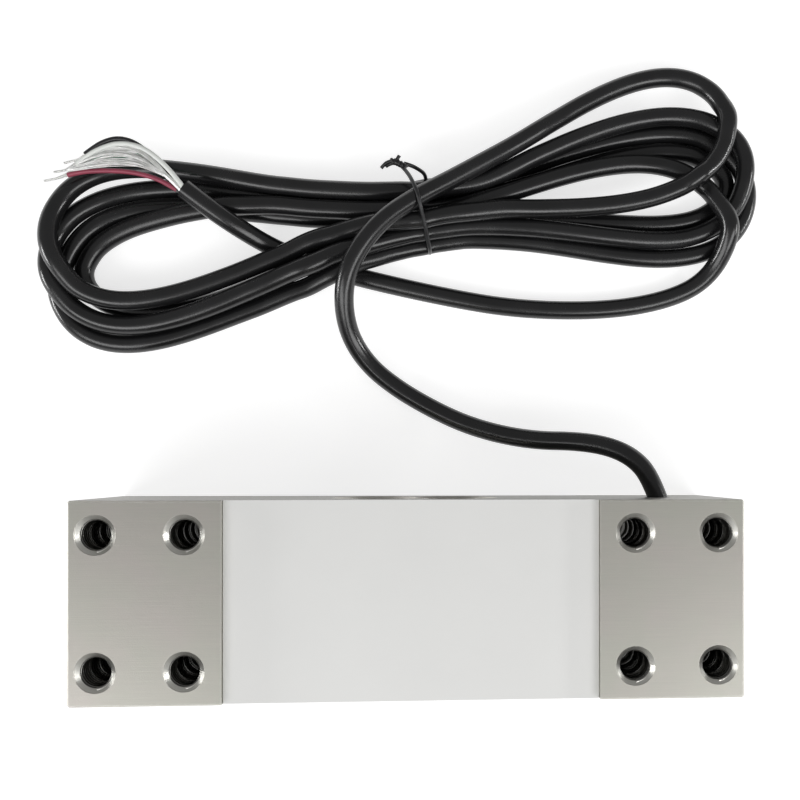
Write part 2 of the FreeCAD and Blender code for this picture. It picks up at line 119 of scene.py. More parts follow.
# Each half turn: side, its two slots, how far it reaches and how far it leans, then for its way
# out and its way back the half width and how full the far end is, and last its layer and the
# share of it that is laid.
HALF_TURNS = [
    (+1, 0, 1, 0.0774, 0.0229, (0.0237, 0.0235), (1.21, 0.83), 9, (0.20, 1.0)),
    (-1, 1, 2, 0.0931, -0.0082, (0.0273, 0.0299), (1.62, 1.61), 8, (0.0, 1.0)),
    (+1, 2, 3, 0.0830, 0.0118, (0.0226, 0.0255), (1.25, 1.16), 6, (0.0, 1.0)),
    (-1, 3, 4, 0.0928, -0.0133, (0.0276, 0.0269), (1.49, 1.50), 5, (0.0, 1.0)),
    (+1, 4, 5, 0.0848, 0.0067, (0.0252, 0.0250), (1.40, 1.53), 1, (0.0, 1.0)),
    (-1, 5, 6, 0.0934, -0.0176, (0.0282, 0.0262), (1.70, 1.02), 2, (0.0, 1.0)),
    (+1, 6, 7, 0.0792, 0.0090, (0.0158, 0.0157), (1.22, 1.48), 3, (0.0, 1.0)),
    (-1, 7, 8, 0.0866, -0.0160, (0.0161, 0.0172), (1.16, 0.45), 4, (0.0, 1.0)),
    (+1, 8, 8, 0.0792, -0.0092, (0.0329, 0.0350), (0.89, 0.93), 7, (0.0, 0.43)),
]
POINTS_PER_HALF_TURN = 72

# Points of a half turn that are no further out than this share of its reach lie too close to
# its ends at the tie, and are left out.
CLOSEST_SHARE = 0.008
# Guards against the last digit where a share of a half turn's points is rounded.
ROUNDING = 1e-9

# How the turns settle: steps, gap and layers in diameters, and the fall for each step, with the
# share of the steps after which it slows and the share of it that is left. Then the pull back to
# their own line, how much more the tie pulls and how far that reaches, and their stiffness.
SETTLE_STEPS = 400
CONTACT_GAP = 1.01
LAYER_PITCH = 1.02
FALL = 0.0002
SLOW_AFTER = 0.8
SLOW_FALL = 0.3
PULL_HOME = 0.12
TIE_PULL = 0.5
TIE_GRIP = 0.012
BEND_STIFFNESS = 0.4
# Strands that are close are listed anew after some steps. In each step they are pushed apart in
# rounds, each damped where a point is pushed from several sides.
STEPS_PER_LIST = 8
PUSH_ROUNDS = 8
PUSH_DAMPING = 0.7
# Added to every distance between strands, so that none is zero.
LEAST_DISTANCE = 1e-12


def half_turn(side, first, last, reach, rise, widths, fullnesses, share):
    """The plan of one half turn of the hank, a long drop from the tie out and back again."""
    points = []
    centre_x, centre_y = TIE_CENTRE
    begin = math.ceil(share[0] * POINTS_PER_HALF_TURN - ROUNDING)
    end = math.floor(share[1] * POINTS_PER_HALF_TURN + ROUNDING)
    for step in range(begin, end + 1):
        angle = 2 * math.pi * step / POINTS_PER_HALF_TURN
        out = (1 - math.cos(angle)) / 2
        if 0 < step < POINTS_PER_HALF_TURN and out < CLOSEST_SHARE:
            continue
        back = angle >= math.pi
        slot = TIE_SLOTS[last if back else first]
        lean = rise * math.sin(math.pi * out / 2)
        swell = side * widths[back] * math.sin(angle) * out ** fullnesses[back]
        y = centre_y + lean + swell + (slot - centre_y) * (1 - out)
        points.append((centre_x + side * reach * out, y))
    return points


def lay_route():
    """The cable's points where they come to rest in plan, their layers, and which are free."""
    points = list(LEAD_POINTS)
    layers = [LEAD_LAYER] * len(points)
    free = [False] * len(points)
    for number, (*plan, layer, share) in enumerate(HALF_TURNS):
        turn = half_turn(*plan, share)[1 if number else 0 :]
        points += [(x, y, 0.0) for x, y in turn]
        layers += [layer] * len(turn)
        free += [True] * len(turn)
    points += TAIL_POINTS
    layers += TAIL_LAYERS
    free += [False] * len(TAIL_POINTS)
    return np.array(points), np.array(layers), np.array(free)


def strand_pairs(home, free, diameter):
    """Points, and the runs from point to point that each could touch, as two lists of places."""
    count = len(home)
    run = np.r_[0, np.cumsum(np.linalg.norm(np.diff(home, axis=0), axis=1))]
    grids = np.meshgrid(range(count), range(count - 1), indexing="ij")
    one, two = (grid.ravel() for grid in grids)
    apart = np.minimum(abs(run[two] - run[one]), abs(run[two + 1] - run[one]))
    keep = (apart > 2 * diameter) & (free[one] | free[two] | free[two + 1])
    return one[keep], two[keep]


def nearest(spots, one, two):
    """Where each point is closest to its run: the share along it, the offset and the distance."""
    begin, along = spots[two], spots[two + 1] - spots[two]
    share = np.clip(((spots[one] - begin) * along).sum(1) / (along * along).sum(1), 0, 1)
    offset = spots[one] - (begin + along * share[:, None])
    return share, offset, np.linalg.norm(offset, axis=1) + LEAST_DISTANCE


def push_apart(spots, one, two, gap, moves):
    """Push strands that are closer than the gap away from each other, and say if any were."""
    share, offset, distance = nearest(spots, one, two)
    hit = distance < gap
    if not hit.any():
        return False
    a, b, part = one[hit], two[hit], share[hit]
    push = ((gap - distance[hit]) / distance[hit])[:, None] * offset[hit] / 2
    push *= (1 + (moves[a] == 0) + (moves[b] + moves[b + 1] == 0))[:, None]
    shift, weight = np.zeros_like(spots), np.zeros(len(spots))
    for index, factor in ((a, np.ones_like(part)), (b, part - 1), (b + 1, -part)):
        np.add.at(shift, index, push * factor[:, None])
        np.add.at(weight, index, abs(factor))
    spots += shift * moves[:, None] / np.maximum(1, PUSH_DAMPING * weight)[:, None]
    return True


def settle_turns(points, layers, free, diameter):
    """Let the free turns sink on to the floor and on to each other, stiff as the cable is.

    Every strand starts in its own layer and they all fall together. The lead and the tail stop
    at their own heights.
    """
    spots = points.copy()
    home = points[:, :2].copy()
    rest = points[:, 2].copy()
    start = diameter * (0.5 + LAYER_PITCH * layers)
    spots[free, 2] = start[free]
    tied = np.exp(-(((home[:, 0] - TIE_CENTRE[0]) / TIE_GRIP) ** 2))
    pull = (PULL_HOME + TIE_PULL * tied)[free, None]
    gap = CONTACT_GAP * diameter
    one, two = strand_pairs(home, free, diameter)
    heading = np.gradient(home, axis=0)
    heading /= np.linalg.norm(heading, axis=1)[:, None]
    moves = free.astype(float)

    for step in range(SETTLE_STEPS):
        if step % STEPS_PER_LIST == 0:
            close = nearest(spots, one, two)[2] < gap + diameter
            near_one, near_two = one[close], two[close]
        spots[free, 2] -= FALL if step < SLOW_AFTER * SETTLE_STEPS else SLOW_FALL * FALL
        spots[~free, 2] = np.maximum(rest, start - FALL * step)[~free]
        strain = spots.copy()
        strain[:, :2] -= home
        even = strain.copy()
        even[3:-3] = (strain[:-6] + strain[6:] + strain[2:-4] + strain[4:-2]) / 4
        spots[free] += BEND_STIFFNESS * (even - strain)[free]
        spots[free, :2] += pull * (home - spots[:, :2])[free]
        for _ in range(PUSH_ROUNDS):
            if not push_apart(spots, near_one, near_two, gap, moves):
                break
            spots[free, 2] = np.maximum(spots[free, 2], diameter / 2)
            drift = spots[:, :2] - home
            spots[:, :2] -= (drift * heading).sum(1)[:, None] * heading
    return spots


# ---------------------------------------------------------------- places of the small pieces

FLOOR_LEVEL = -0.0002
# The eight tapped bores: their places to each side of the middle, radius and countersink.
BORES_X = (0.050, 0.069)
BORES_Y = 0.015
BORE_RADIUS = 0.0034
SINK_RADIUS = 0.0045
BORE_SINK = 0.0011

# The camera: its focal length and film width in mm, its shift and nearest view, place and turn.
LENS = {
    "lens": 45.106,
    "sensor_width": 36.0,
    "shift_x": -0.1264,
    "shift_y": 0.0863,
    "clip_start": 0.005,
}
CAMERA_PLACE = (0.00428, 0.0294, 0.26337)
CAMERA_TURN = (0, -0.0683, 0)
# Softboxes: name, place, size and power, and the place that they all face.
LAMP_TARGET = (0, 0.05, 0)
SOFTBOXES = [
    ("softbox_top", (0.0, -0.4, 0.85), (1.6, 0.5), 0.5),
    ("softbox_front_left", (-0.34, -0.39, 0.49), (0.6, 0.26), 2.0),
    ("softbox_front_right", (0.41, -0.37, 0.52), (0.66, 0.26), 2.4),
    ("softbox_left", (-0.6, 0.02, 0.11), (0.2, 0.05), 1.1),
    ("softbox_right", (0.6, 0.06, 0.16), (0.2, 0.05), 0.8),
]

# The tie's wire goes over the strands and the lead, and back under them.
TIE_STRAP = [
    (-0.0034, 0.1055, 0.0100),
    (-0.0021, 0.1036, 0.0124),
    (-0.0006, 0.1003, 0.0156),
    (0.0007, 0.0969, 0.0174),
    (0.0013, 0.0940, 0.0164),
    (0.0020, 0.0916, 0.0144),
    (0.0026, 0.0893, 0.0126),
    (0.0031, 0.0871, 0.0100),
    (0.0036, 0.0854, 0.0070),
    (0.0036, 0.0851, 0.0036),
    (0.0035, 0.0862, 0.0005),
    (0.0033, 0.0904, 0.0005),
    (0.0031, 0.0959, 0.0005),
    (0.0028, 0.1013, 0.0005),
    (0.0026, 0.1045, 0.0012),
    (0.0023, 0.1055, 0.0042),
    (0.0008, 0.1056, 0.0076),
    (-0.0011, 0.1060, 0.0096),
    (-0.0029, 0.1063, 0.0101),
]
TIE_TWIST = [
    (-0.0024, 0.1052, 0.0104),
    (-0.0036, 0.1059, 0.0106),
    (-0.0049, 0.1065, 0.0106),
    (-0.0061, 0.1067, 0.0104),
]
TIE_EARS = [
    [
        (-0.0059, 0.1068, 0.0104),
        (-0.0071, 0.1066, 0.0100),
        (-0.0080, 0.1059, 0.0096),
        (-0.0086, 0.1053, 0.0092),
    ],
    [
        (-0.0051, 0.1066, 0.0106),
        (-0.0045, 0.1072, 0.0108),
        (-0.0040, 0.1080, 0.0110),
    ],
    [
        (-0.0056, 0.1063, 0.0101),
        (-0.0067, 0.1062, 0.0096),
        (-0.0074, 0.1058, 0.0090),
    ],
]

# The cores of the stripped end, their bare tips, and the middle of its screen.
CORES = {
    "core_red": [
        (-0.0583, 0.0979, 0.0126),
        (-0.0614, 0.0997, 0.0134),
        (-0.0649, 0.1009, 0.0138),
        (-0.0690, 0.1018, 0.0135),
        (-0.0737, 0.1022, 0.0130),
        (-0.0782, 0.1022, 0.0125),
        (-0.0821, 0.1019, 0.0120),
        (-0.0847, 0.1013, 0.0116),
    ],
    "core_black": [
        (-0.0577, 0.0983, 0.0130),
        (-0.0601, 0.1014, 0.0138),
        (-0.0628, 0.1046, 0.0144),
        (-0.0653, 0.1069, 0.0150),
        (-0.0683, 0.1088, 0.0153),
        (-0.0718, 0.1095, 0.0152),
        (-0.0755, 0.1085, 0.0148),
        (-0.0785, 0.1067, 0.0142),
        (-0.0798, 0.1058, 0.0139),
    ],
    "core_green": [
        (-0.0573, 0.0986, 0.0128),
        (-0.0596, 0.1016, 0.0132),
        (-0.0621, 0.1042, 0.0134),
        (-0.0653, 0.1056, 0.0132),
        (-0.0690, 0.1061, 0.0129),
        (-0.0734, 0.1059, 0.0125),
        (-0.0778, 0.1050, 0.0120),
        (-0.0818, 0.1036, 0.0116),
    ],
    "core_white": [
        (-0.0562, 0.0979, 0.0142),
        (-0.0583, 0.1007, 0.0152),
        (-0.0608, 0.1034, 0.0159),
        (-0.0636, 0.1058, 0.0160),
        (-0.0667, 0.1075, 0.0158),
        (-0.0711, 0.1083, 0.0154),
        (-0.0753, 0.1073, 0.0148),
        (-0.0791, 0.1056, 0.0140),
        (-0.0821, 0.1036, 0.0134),
    ],
}
TIPS = [
    [
        (-0.0844, 0.1014, 0.0116),
        (-0.0864, 0.1008, 0.0113),
        (-0.0887, 0.1003, 0.0110),
        (-0.0907, 0.1000, 0.0107),
    ],
    [
        (-0.0796, 0.1060, 0.0139),
        (-0.0809, 0.1049, 0.0136),
        (-0.0826, 0.1043, 0.0133),
        (-0.0851, 0.1038, 0.0130),
    ],
    [
        (-0.0816, 0.1037, 0.0116),
        (-0.0831, 0.1029, 0.0114),
        (-0.0850, 0.1017, 0.0112),
        (-0.0873, 0.1007, 0.0110),
    ],
    [
        (-0.0819, 0.1031, 0.0134),
        (-0.0837, 0.1024, 0.0131),
        (-0.0857, 0.1019, 0.0128),
        (-0.0877, 0.1017, 0.0125),
    ],
]
SCREEN = [
    (-0.0571, 0.0976, 0.0136),
    (-0.0594, 0.1000, 0.0146),
    (-0.0624, 0.1024, 0.0152),
    (-0.0657, 0.1045, 0.0153),
    (-0.0695, 0.1055, 0.0150),
    (-0.0737, 0.1055, 0.0146),
    (-0.0777, 0.1045, 0.0140),
    (-0.0812, 0.1033, 0.0134),
    (-0.0842, 0.1022, 0.0129),
]
# How the strands of a tip and the wires of the screen lie in their bundles.
TIP_LAY = {"Strands": 7, "Turns": 1.5, "Points": 16}
SCREEN_LAY = {
    "Wire Radius": 0.0001,
    "Lay Radius": 0.00045,
    "Turns": 0.6,
    "Fan Width": 0.0023,
    "Fan Depth": 0.0005,
    "Fan Start": 0.16,
    "Points": 44,
}
# The radius of the wire in the tie's ears and twist, as a share of that in its strap.
TIE_END_SHARE = 0.9
STEPS_PER_THREAD_TURN = 30

# Shares and sizes in the beam's finish: how far from its outermost faces still counts as wall
# for the painted shade, two tints of the metal, the colour of rubbed edges, how much the cutter's
# lines show and their tone, how much the rubbed edges show, how far the painted reflection on the
# sinks and the painted shade in the bores reach, how much smoother the sinks are, the lines' share
# of the relief, and its depth.
WALL_MARGIN = 0.00005
WARM_TINT = (1.035, 0.99, 0.985)
OLIVE_TINT = (0.99, 1.005, 0.955)
RUBBED_METAL = (0.86, 0.86, 0.84, 1)
LINE_SHARE = 0.25
LINE_TONE = 0.86
RUBBED_SHARE = 0.55
SINK_REFLECTION_RADIUS = SINK_RADIUS * 0.96
BORE_SHADE_RADIUS = BORE_RADIUS * 1.03
SINK_POLISH = 0.08
LINE_RELIEF = 0.8
METAL_RELIEF = 0.000006


# ---------------------------------------------------------------- small helpers


def add_to_scene(name, data):
    obj = bpy.data.objects.new(name, data)
    bpy.context.scene.collection.objects.link(obj)
    return obj


def nurbs_path(name, routes, radius=0.0, sides=10, steps=6):
    """Smooth curves that follow their points, and with a radius, round tubes with closed ends."""
    data = bpy.data.curves.new(name, "CURVE")
    data.dimensions = "3D"
    data.resolution_u = steps
    data.render_resolution_u = steps
    data.bevel_depth = radius
    data.bevel_resolution = sides
    data.use_fill_caps = radius > 0
    for points in routes:
        spline = data.splines.new("NURBS")
        spline.points.add(len(points) - 1)
        for target, point in zip(spline.points, points):
            target.co = (*point, 1.0)
        spline.order_u = 3
        spline.use_endpoint_u = True
    return add_to_scene(name, data)


def plain_mesh(obj):
    """The object's evaluated shape as a mesh of its own, and the object is deleted."""
    graph = bpy.context.evaluated_depsgraph_get()
    mesh = bpy.data.meshes.new_from_object(obj.evaluated_get(graph))
    name = obj.name
    bpy.data.objects.remove(obj)
    return add_to_scene(name, mesh)


def joined(name, objects):
    """One mesh object out of several, with the objects deleted."""
    whole = bmesh.new()
    for obj in objects:
        part = plain_mesh(obj)
        whole.from_mesh(part.data)
        bpy.data.objects.remove(part)
    mesh = bpy.data.meshes.new(name)
    whole.to_mesh(mesh)
    whole.free()
    mesh.shade_smooth()
    return add_to_scene(name, mesh)


# ---------------------------------------------------------------- node helpers


def feed(tree, made, inputs):
    """Set a node's inputs, each to a value or to another node's output."""
    for socket, value in inputs.items():
        if isinstance(value, bpy.types.NodeSocket):
            tree.links.new(value, made.inputs[socket])
        else:
            made.inputs[socket].default_value = value


def node(tree, kind, inputs=None, **properties):
    """A node with its properties and inputs set."""
    made = tree.nodes.new(kind)
    for name, value in properties.items():
        setattr(made, name, value)
    feed(tree, made, inputs or {})
    return made


def maths(tree, operation, *values):
    made = node(tree, "ShaderNodeMath", dict(enumerate(values)), operation=operation)
    return made.outputs[0]


def vectors(tree, operation, *values):
    made = node(tree, "ShaderNodeVectorMath", dict(enumerate(values)), operation=operation)
    scalar = operation in {"DOT_PRODUCT", "LENGTH"}
    return made.outputs["Value" if scalar else "Vector"]


def scaled(tree, vector, factor):
    inputs = {"Vector": vector, "Scale": factor}
    return node(tree, "ShaderNodeVectorMath", inputs, operation="SCALE").outputs["Vector"]


def mixed(tree, share, first, second):
    """A colour between two others. Its sockets share their names, so they go by number."""
    inputs = {0: share, 6: first, 7: second}
    return node(tree, "ShaderNodeMix", inputs, data_type="RGBA").outputs[2]


def ramp(tree, value, low, high, to_low=0.0, to_high=1.0):
    """The value's place between low and high, from to_low to to_high."""
    inputs = {
        "Value": value,
        "From Min": low,
        "From Max": high,
        "To Min": to_low,
        "To Max": to_high,
    }
    return node(tree, "ShaderNodeMapRange", inputs).outputs["Result"]


def new_group(kind, name, inputs, outputs):
    """A node group with named sockets, and its input and output nodes."""
    tree = bpy.data.node_groups.new(name, kind)
    for in_out, sockets in (("INPUT", inputs), ("OUTPUT", outputs)):
        for socket, (socket_kind, value) in sockets.items():
            made = tree.interface.new_socket(
                name=socket, in_out=in_out, socket_type=f"NodeSocket{socket_kind}"
            )
            if value is not None:
                made.default_value = value
    entry = tree.nodes.new("NodeGroupInput")
    leave = tree.nodes.new("NodeGroupOutput")
    return tree, entry.outputs, leave.inputs


def use_group(tree, group, inputs):
    made = tree.nodes.new(f"{tree.bl_idname.removesuffix('Tree')}Group")
    made.node_tree = group
    feed(tree, made, inputs)
    return made.outputs


# ---------------------------------------------------------------- effects shared by the finishes


def noise(tree, vector, size, detail, **inputs):
    """Noise whose features are about as large as the size."""
    inputs |= {"Vector": vector, "Scale": maths(tree, "DIVIDE", 1.0, size), "Detail": detail}
    return node(tree, "ShaderNodeTexNoise", inputs).outputs["Fac"]


# Most of the noise lies in this range, which the masks stretch to 0 to 1.
NOISE_RANGE = (0.3, 0.7)


def unevenness_group():
    """Broad blotches and fine grain, each from 0 to 1."""
    sockets = {
        "Vector": ("Vector", None),
        "Blotch Size": ("Float", 0.01),
        "Grain Size": ("Float", 0.0003),
    }
    masks = {"Blotches": ("Float", None), "Grain": ("Float", None)}
    tree, entry, leave = new_group("ShaderNodeTree", "unevenness", sockets, masks)
    for size, detail, output in (("Blotch Size", 3.0, "Blotches"), ("Grain Size", 2.0, "Grain")):
        patches = noise(tree, entry["Vector"], entry[size], detail, Roughness=0.55)
        tree.links.new(ramp(tree, patches, *NOISE_RANGE), leave[output])
    return tree


def drawn_lines_group():
    """Fine lines along one direction, such as a cutter or a die leaves, from 0 to 1."""
    sockets = {
        "Vector": ("Vector", None),
        "Spacing": ("Float", 0.0003),
        "Stretch": ("Vector", (0.02, 1.0, 1.0)),
    }
    tree, entry, leave = new_group(
        "ShaderNodeTree", "drawn_lines", sockets, {"Lines": ("Float", None)}
    )
    stretched = vectors(tree, "MULTIPLY", entry["Vector"], entry["Stretch"])
    streaks = noise(tree, stretched, entry["Spacing"], 3.0)
    tree.links.new(ramp(tree, streaks, *NOISE_RANGE), leave["Lines"])
    return tree


def edge_wear_group():
    """A mask along the outer edges, broken up by noise."""
    sockets = {
        "Vector": ("Vector", None),
        "Radius": ("Float", 0.0004),
        "Break-up": ("Float", 0.0015),
    }
    tree, entry, leave = new_group(
        "ShaderNodeTree", "edge_wear", sockets, {"Wear": ("Float", None)}
    )
    rounded = node(tree, "ShaderNodeBevel", {"Radius": entry["Radius"]}, samples=4)
    straight = node(tree, "ShaderNodeNewGeometry").outputs["Normal"]
    likeness = vectors(tree, "DOT_PRODUCT", rounded.outputs[0], straight)
    edge = ramp(tree, likeness, 0.995, 0.93)
    patches = ramp(tree, noise(tree, entry["Vector"], entry["Break-up"], 3.0), 0.3, 0.6)
    tree.links.new(maths(tree, "MULTIPLY", edge, patches), leave["Wear"])
    return tree


def effect(name):
    """A shared effect, built once."""
    builders = {
        "unevenness": unevenness_group,
        "drawn_lines": drawn_lines_group,
        "edge_wear": edge_wear_group,
    }
    return bpy.data.node_groups.get(name) or builders[name]()


# ---------------------------------------------------------------- finishes


def start_material(name):
    material = bpy.data.materials.new(name)
    material.use_nodes = True
    tree = material.node_tree
    return material, tree, tree.nodes["Principled BSDF"]


def object_place(tree):
    return node(tree, "ShaderNodeTexCoord").outputs["Object"]


def tinted(colour, factor):
    return (*(min(1.0, channel * factor) for channel in colour), 1.0)


def bump(tree, shader, height, depth):
    """Raise the surface by up to a depth in metres."""
    inputs = {"Height": height, "Distance": depth, "Strength": 1.0}
    tree.links.new(node(tree, "ShaderNodeBump", inputs).outputs[0], shader.inputs["Normal"])


def plain_finish(name, colour, roughness, metallic, blotches, grain, wear=0.0):
    """A finish with blotches, grain and rubbed edges.

    blotches and grain are (share, size) and (depth, size); wear is how much paler the edges are.
    """
    material, tree, shader = start_material(name)
    place = object_place(tree)
    sizes = {"Vector": place, "Blotch Size": blotches[1], "Grain Size": grain[1]}
    uneven = use_group(tree, effect("unevenness"), sizes)
    dark, pale = tinted(colour, 1 - blotches[0]), tinted(colour, 1 + blotches[0])
    tone = mixed(tree, uneven["Blotches"], dark, pale)
    if wear:
        worn = use_group(tree, effect("edge_wear"), {"Vector": place})["Wear"]
        tone = mixed(tree, maths(tree, "MULTIPLY", worn, wear), tone, tinted(colour, 1.6))
    tree.links.new(tone, shader.inputs["Base Color"])
    rough = ramp(tree, uneven["Grain"], 0, 1, roughness * 0.85, min(1.0, roughness * 1.15))
    tree.links.new(rough, shader.inputs["Roughness"])
    shader.inputs["Metallic"].default_value = metallic
    bump(tree, shader, uneven["Grain"], grain[0])
    return material


def bore_mask(tree, place, radius):
    """1 within a radius of the bores' axes, 0 elsewhere."""
    apart = node(tree, "ShaderNodeSeparateXYZ", {"Vector": vectors(tree, "ABSOLUTE", place)})
    masks = []
    for x in BORES_X:
        along = maths(tree, "SUBTRACT", apart.outputs["X"], x)
        across = maths(tree, "SUBTRACT", apart.outputs["Y"], BORES_Y)
        flat = node(tree, "ShaderNodeCombineXYZ", {"X": along, "Y": across}).outputs[0]
        masks.append(maths(tree, "LESS_THAN", vectors(tree, "LENGTH", flat), radius))
    return maths(tree, "MAXIMUM", *masks)


def beam_finish(settings):
    """Fine-milled aluminium with a clear anodised skin and satin pads.

    Painted shade darkens the walls and the bores, and a painted reflection brightens the sinks.
    """
    material, tree, shader = start_material("beam_metal_finish")
    place = object_place(tree)
    colour = settings.metal_colour
    sizes = {"Vector": place, "Blotch Size": 0.016, "Grain Size": 0.00022}
    uneven = use_group(tree, effect("unevenness"), sizes)
    lines = use_group(tree, effect("drawn_lines"), {"Vector": place, "Spacing": 0.00025})["Lines"]
    warm = tuple(channel * share for channel, share in zip(colour, WARM_TINT))
    olive = tuple(channel * share for channel, share in zip(colour, OLIVE_TINT))
    tone = mixed(tree, uneven["Blotches"], tinted(olive, 1.0), tinted(warm, 1.0))
    marks = maths(tree, "MULTIPLY", lines, LINE_SHARE)
    tone = mixed(tree, marks, tone, tinted(colour, LINE_TONE))
    # Painted shade: the side and end walls are darkened towards black, keeping only the wall share
    # of their tone.
    apart = node(tree, "ShaderNodeSeparateXYZ", {"Vector": vectors(tree, "ABSOLUTE", place)})
    side = maths(tree, "GREATER_THAN", apart.outputs["Y"], BEAM_HIGH.y - WALL_MARGIN)
    end = maths(tree, "GREATER_THAN", apart.outputs["X"], BEAM_HIGH.x - WALL_MARGIN)
    wall = maths(tree, "MAXIMUM", side, end)
    shade = maths(tree, "MULTIPLY", wall, 1 - settings.shaded_wall_share)
    tone = mixed(tree, shade, tone, (0, 0, 0, 1))
    worn = use_group(tree, effect("edge_wear"), {"Vector": place, "Radius": 0.0003})["Wear"]
    tone = mixed(tree, maths(tree, "MULTIPLY", worn, RUBBED_SHARE), tone, RUBBED_METAL)
    # Painted reflection: the sinks take the metal's colour brightened by the sink share, a light
    # ring round each bore.
    sink = bore_mask(tree, place, SINK_REFLECTION_RADIUS)
    tone = mixed(tree, sink, tone, tinted(colour, settings.sink_reflection_share))
    # Painted shade: inside the bores the metal's colour is darkened to the bore share.
    inside = bore_mask(tree, place, BORE_SHADE_RADIUS)
    tone = mixed(tree, inside, tone, tinted(colour, settings.bore_shade_share))
    tree.links.new(tone, shader.inputs["Base Color"])
    rough = ramp(tree, uneven["Grain"], 0, 1, settings.roughness - 0.04, settings.roughness + 0.05)
    rough = maths(tree, "SUBTRACT", rough, maths(tree, "MULTIPLY", sink, SINK_POLISH))
    tree.links.new(rough, shader.inputs["Roughness"])
    shader.inputs["Metallic"].default_value = 1.0
    relief = maths(tree, "ADD", uneven["Grain"], maths(tree, "MULTIPLY", lines, LINE_RELIEF))
    bump(tree, shader, relief, METAL_RELIEF)
    return material


def jacket_finish(settings):
    """Black glossy PVC, a little uneven from the die and dulled in places by handling."""
    material, tree, shader = start_material("cable_jacket_finish")
    place = object_place(tree)
    sizes = {"Vector": place, "Blotch Size": 0.012, "Grain Size": 0.0007}
    uneven = use_group(tree, effect("unevenness"), sizes)
    colour = settings.jacket_colour
    tone = mixed(tree, uneven["Blotches"], tinted(colour, 0.8), tinted(colour, 1.3))
    tree.links.new(tone, shader.inputs["Base Color"])
    scuffs = maths(tree, "MULTIPLY", uneven["Blotches"], 0.1)
    rough = maths(tree, "ADD", scuffs, ramp(tree, uneven["Grain"], 0, 1, 0.17, 0.21))
    tree.links.new(rough, shader.inputs["Roughness"])
    shader.inputs["Specular IOR Level"].default_value = 0.56
    bump(tree, shader, uneven["Grain"], 0.000003)
    return material


# The plain finishes: colour, roughness, metallic, (blotch share, size), (grain depth, size), wear.
PLAIN_FINISHES = {
    "cover": ((0.785, 0.785, 0.77), 0.5, 0.0, (0.012, 0.02), (0.000006, 0.0004), 0.25),
    "sealant": ((0.8, 0.8, 0.78), 0.45, 0.0, (0.03, 0.004), (0.00004, 0.0012), 0.0),
    "gauge_film": ((0.55, 0.33, 0.1), 0.3, 0.0, (0.06, 0.002), (0.000003, 0.0002), 0.0),
    "board": ((0.03, 0.16, 0.06), 0.42, 0.0, (0.06, 0.002), (0.000006, 0.0003), 0.2),
    "resistor": ((0.02, 0.02, 0.022), 0.4, 0.0, (0.1, 0.001), (0.000006, 0.0002), 0.3),
    "bare_wire": ((0.82, 0.82, 0.8), 0.28, 1.0, (0.06, 0.001), (0.000004, 0.0002), 0.0),
    "seal_rubber": ((0.015, 0.015, 0.015), 0.6, 0.0, (0.2, 0.003), (0.00001, 0.0004), 0.2),
    "crimp": ((0.6, 0.58, 0.5), 0.3, 1.0, (0.06, 0.003), (0.000006, 0.0003), 0.4),
    "core_insulation": ((0.5, 0.42, 0.3), 0.4, 0.0, (0.06, 0.003), (0.000006, 0.0003), 0.0),
    "potting": ((0.06, 0.05, 0.045), 0.3, 0.0, (0.1, 0.004), (0.00002, 0.001), 0.0),
    "tie_coating": ((0.012, 0.012, 0.013), 0.38, 0.0, (0.3, 0.003), (0.00002, 0.0004), 0.6),
    "core_red": ((0.3, 0.05, 0.085), 0.36, 0.0, (0.12, 0.004), (0.000008, 0.0004), 0.0),
    "core_black": ((0.012, 0.012, 0.013), 0.32, 0.0, (0.2, 0.004), (0.000008, 0.0004), 0.0),
    "core_green": ((0.03, 0.28, 0.12), 0.35, 0.0, (0.12, 0.004), (0.000008, 0.0004), 0.0),
    "core_white": ((0.74, 0.76, 0.73), 0.4, 0.0, (0.04, 0.004), (0.000008, 0.0004), 0.0),
    "screen_braid": ((0.92, 0.92, 0.9), 0.42, 1.0, (0.1, 0.0015), (0.000004, 0.0002), 0.0),
}


def finish(slot):
    """The material of a slot, built once."""
    name = f"{slot}_finish"
    made = bpy.data.materials.get(name)
    if made:
        return made
    if slot == "beam_metal":
        return beam_finish(bpy.context.scene.loadcell_metal)
    if slot == "cable_jacket":
        return jacket_finish(bpy.context.scene.loadcell_cable)
    return plain_finish(name, *PLAIN_FINISHES[slot])


def ride_and_finish(obj, slot):
    """Let a piece ride on the part, in a slot and with the slot's material."""
    obj.data.materials.clear()
    obj.data.materials.append(finish(slot))
    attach(obj, BODY)


# ---------------------------------------------------------------- shapes that repeat


def run_tree(obj, tree, inputs):
    """Put an object through a geometry tree and keep the result as a plain mesh."""
    modifier = obj.modifiers.new(tree.name, "NODES")
    modifier.node_group = tree
    for item in tree.interface.items_tree:
        if item.item_type == "SOCKET" and item.in_out == "INPUT" and item.name in inputs:
            modifier[item.identifier] = inputs[item.name]
    return plain_mesh(obj)


def finish_tree(tree, leave, geometry, material):
    """Every geometry tree ends in real geometry with its material."""
    real = node(tree, "GeometryNodeRealizeInstances", {"Geometry": geometry}).outputs[0]
    painted = node(tree, "GeometryNodeSetMaterial", {"Geometry": real, "Material": material})
    tree.links.new(painted.outputs[0], leave["Geometry"])


